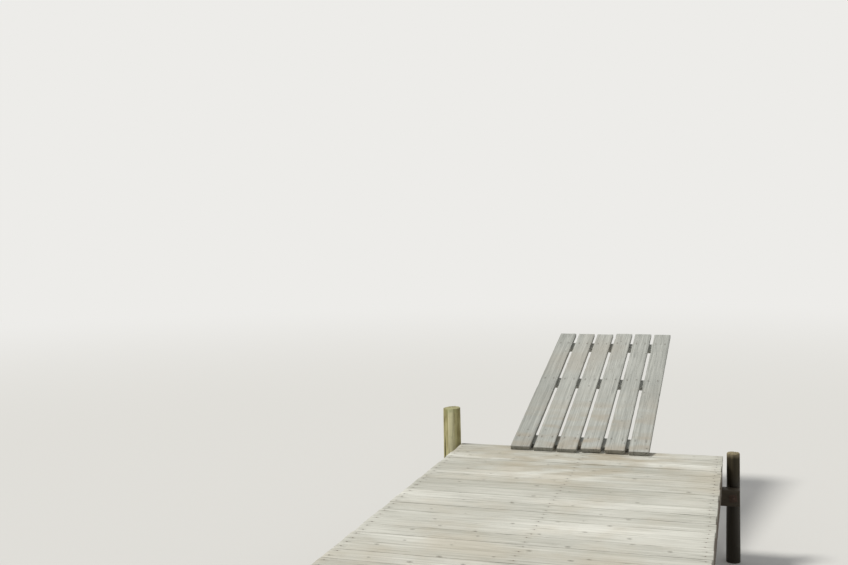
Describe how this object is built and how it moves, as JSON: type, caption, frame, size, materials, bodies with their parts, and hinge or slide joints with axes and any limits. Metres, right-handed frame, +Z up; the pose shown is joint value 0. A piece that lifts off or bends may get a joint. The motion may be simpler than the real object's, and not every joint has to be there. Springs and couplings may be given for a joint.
{
  "type": "wooden jetty",
  "caption": "Low timber jetty: a boarded deck on stringers, cross beams and round piles, with a slatted gangway that lies on its shore edge and climbs to the bank.",
  "frame": {"origin": "on the ground at the feet of the piles, under the middle of the whole jetty's box", "axes": "+X to the right as one walks ashore, +Y along the jetty to the shore, +Z up"},
  "size_m": [1.9275, 9.6406, 1.1929],
  "materials": {
    "deck_board": "silver-grey weathered softwood, sawn",
    "gangway_board": "grey weathered softwood, sawn",
    "frame_timber": "damp brown-grey sawn softwood",
    "post_log": "debarked weathered log with drying cracks",
    "pile_log": "wet dark debarked log",
    "fastener_steel": "rusted steel nails and coach bolts"
  },
  "bodies": {
    "root": {"deck_boards_1": "deck_board", "deck_boards_2": "deck_board", "deck_boards_3": "deck_board", "deck_boards_4": "deck_board", "stringer_left_inner": "frame_timber", "stringer_left_outer": "frame_timber", "stringer_middle_inner": "frame_timber", "stringer_middle_outer": "frame_timber", "stringer_right_inner": "frame_timber", "stringer_right_outer": "frame_timber", "cross_beam_1": "frame_timber", "cross_beam_2": "frame_timber", "cross_beam_3": "frame_timber", "cross_beam_4": "frame_timber", "cross_beam_5": "frame_timber", "shore_post_left": "post_log", "shore_stump_right": "pile_log", "pile_left_2": "pile_log", "pile_right_2": "pile_log", "pile_left_3": "pile_log", "pile_right_3": "pile_log", "pile_left_4": "pile_log", "pile_right_4": "pile_log", "outer_post_left": "post_log", "outer_post_right": "post_log", "gangway_board_1": "gangway_board", "gangway_board_2": "gangway_board", "gangway_board_3": "gangway_board", "gangway_board_4": "gangway_board", "gangway_board_5": "gangway_board", "gangway_board_6": "gangway_board", "batten_lower": "frame_timber", "batten_middle": "frame_timber", "batten_upper": "frame_timber"}
  },
  "joints": []
}
